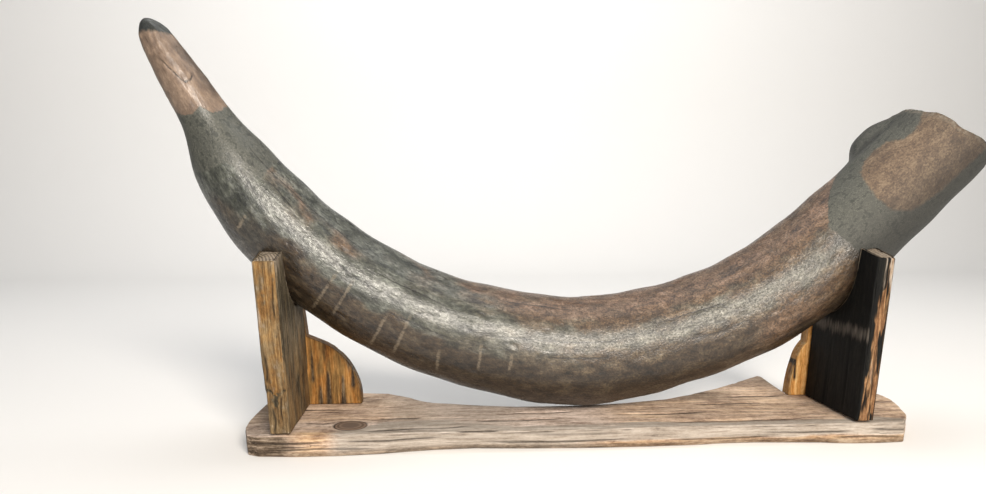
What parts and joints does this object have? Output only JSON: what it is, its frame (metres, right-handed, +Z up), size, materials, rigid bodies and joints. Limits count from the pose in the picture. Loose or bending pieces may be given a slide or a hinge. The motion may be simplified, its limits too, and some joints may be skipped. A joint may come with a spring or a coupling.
{
  "type": "mammoth tusk on a wooden stand",
  "caption": "Long upswept fossil tusk with a blunt tip and a broken root end, lying in cradles cut in the boards of a rough weathered timber stand.",
  "frame": {"origin": "on the surface that the stand rests on, under the middle of the object's bounding box", "axes": "+Z up, +X along the tusk from its raised tip to its broken root end, +Y from the front of the stand to its back"},
  "size_m": [1.1633, 0.2893, 0.5529],
  "materials": {
    "fossil_ivory": "satin",
    "pale_timber": "matte",
    "golden_timber": "matte",
    "dark_timber": "matte",
    "orange_timber": "matte"
  },
  "bodies": {
    "root": {"tusk": "fossil_ivory", "base_board": "pale_timber", "left_upright": "golden_timber", "right_upright": "dark_timber", "left_knee": "orange_timber", "right_knee": "orange_timber"}
  },
  "joints": []
}
